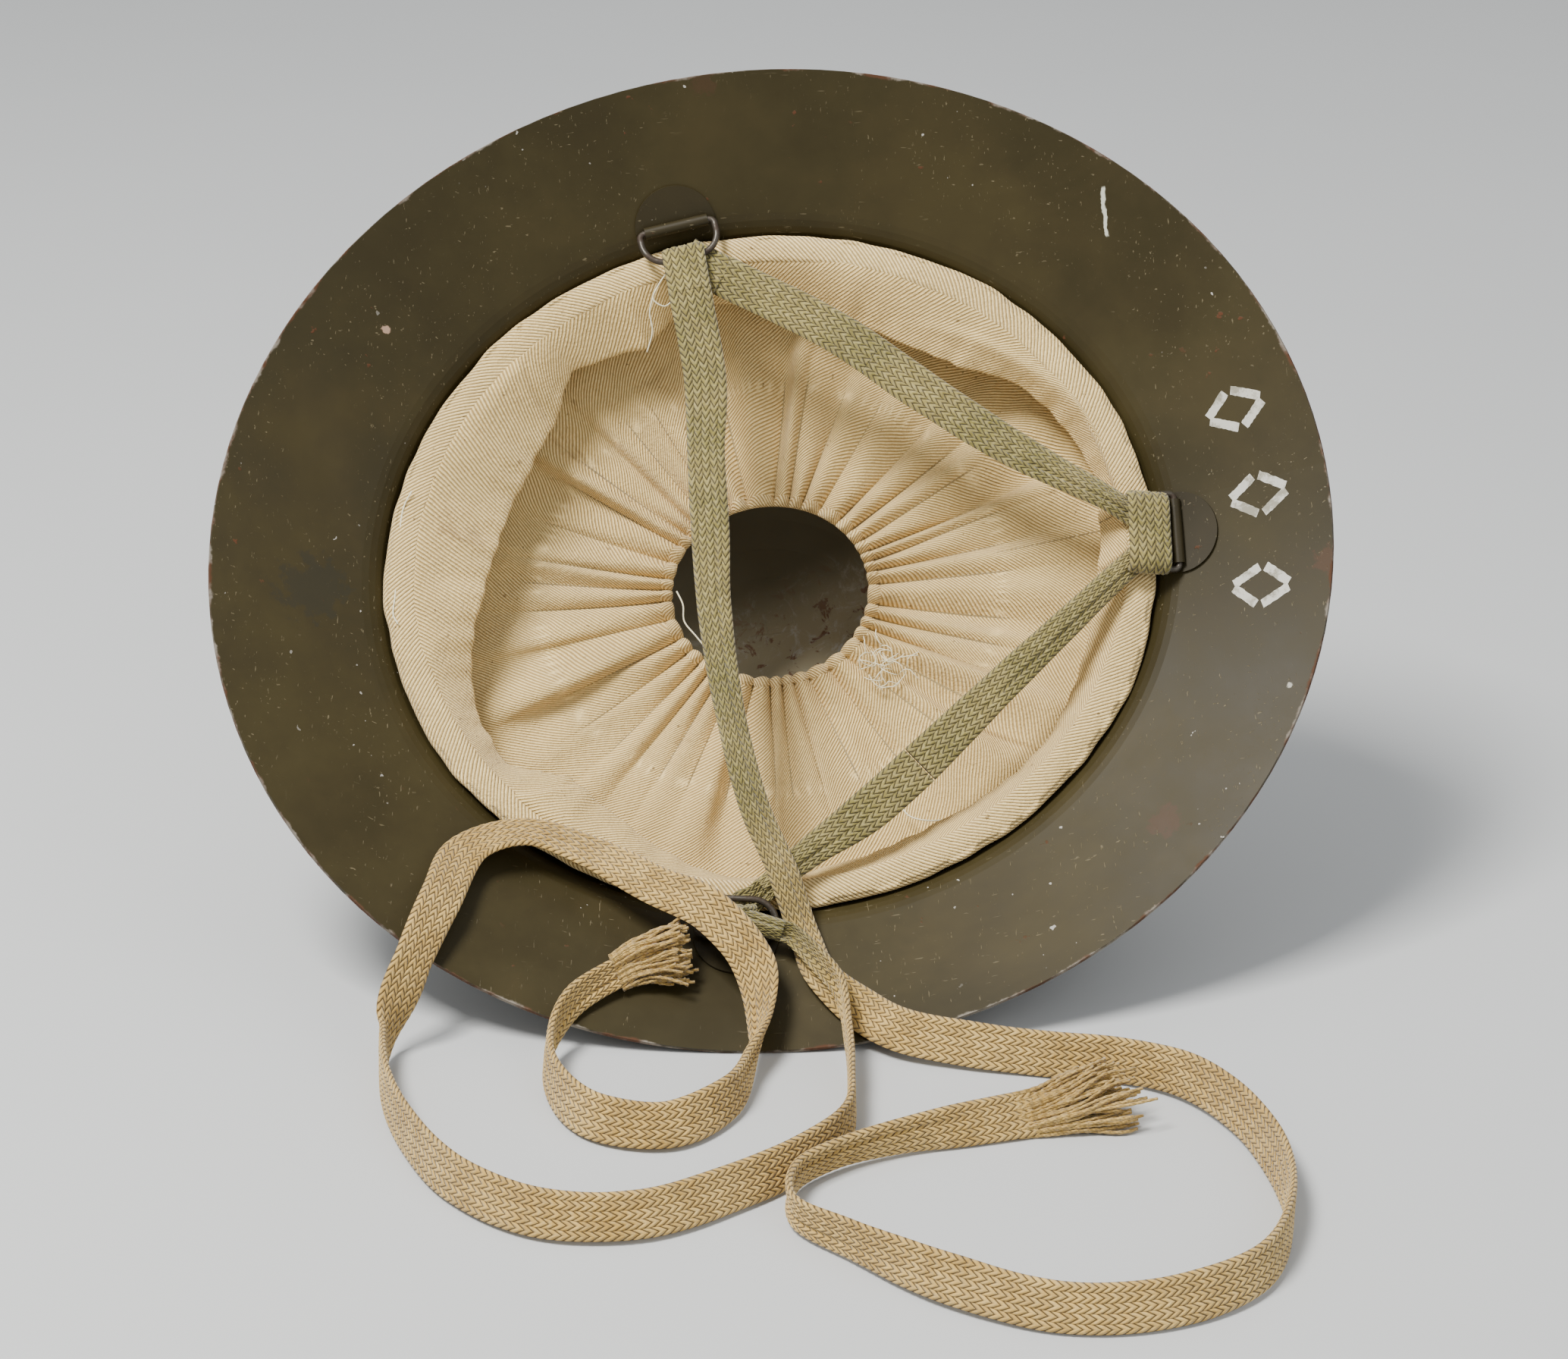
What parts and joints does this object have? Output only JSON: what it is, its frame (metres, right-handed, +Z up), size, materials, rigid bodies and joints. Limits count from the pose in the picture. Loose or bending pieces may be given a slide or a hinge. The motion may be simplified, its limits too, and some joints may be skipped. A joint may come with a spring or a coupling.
{
  "type": "medic helmet",
  "caption": "Wide-brimmed steel helmet lying open side up, with a gathered cotton liner and a braided tape chin strap laced through wire D-rings.",
  "frame": {"origin": "centre of the bottom of the box round the object without its tape, on the table that it lies on", "axes": "+Z up from the table; +X towards the back of the wearer's head; +Y away from the viewer, from the brim's low edge over the dome. The helmet lies on its dome and its brim's edge, open side towards -Y and up."},
  "size_m": [0.3212, 0.3463, 0.2387],
  "materials": {
    "paint": "worn semi-gloss olive brown paint",
    "bracket_paint": "worn semi-gloss olive brown paint",
    "wire": "dark oxidised wire with traces of paint",
    "spring_steel": "dull",
    "fibre": "hard fibre board",
    "cotton": "cream cotton twill, stained",
    "cord": "cotton cord",
    "green_tape": "faded olive braid",
    "tan_tape": "tan braid"
  },
  "bodies": {
    "helmet": {"shell": "paint", "left_bracket": "bracket_paint", "right_bracket": "bracket_paint", "rear_bracket": "bracket_paint", "liner_hoop": "fibre", "spring_tabs": "spring_steel", "liner_casing": "cotton", "folded_band": "cotton", "crown_cloth": "cotton", "drawstring": "cord", "left_cross_tape": "green_tape", "right_cross_tape": "green_tape", "chin_tape": "green_tape", "right_tail": "tan_tape", "left_tail": "tan_tape", "right_frayed_end": "tan_tape", "left_frayed_end": "tan_tape"},
    "left_d_ring": {"left_ring": "wire", "left_wrap": "green_tape"},
    "right_d_ring": {"right_ring": "wire", "right_wrap": "green_tape"},
    "rear_d_ring": {"rear_ring": "wire", "rear_hitch": "green_tape"}
  },
  "joints": [
    {"name": "left_ring_hinge", "type": "hinge", "parent": "helmet", "child": "left_d_ring", "pos_m": [-0.02734, 0.05053, 0.19322], "axis": [-0.9717, -0.1322, -0.1959], "range_deg": [0, 100]},
    {"name": "right_ring_hinge", "type": "hinge", "parent": "helmet", "child": "right_d_ring", "pos_m": [-0.01152, -0.06928, 0.01954], "axis": [0.9985, -0.0304, -0.045], "range_deg": [0, 9]},
    {"name": "rear_ring_hinge", "type": "hinge", "parent": "helmet", "child": "rear_d_ring", "pos_m": [0.11808, -0.00191, 0.11564], "axis": [-0.0496, 0.5588, 0.8278], "range_deg": [0, 85]}
  ]
}
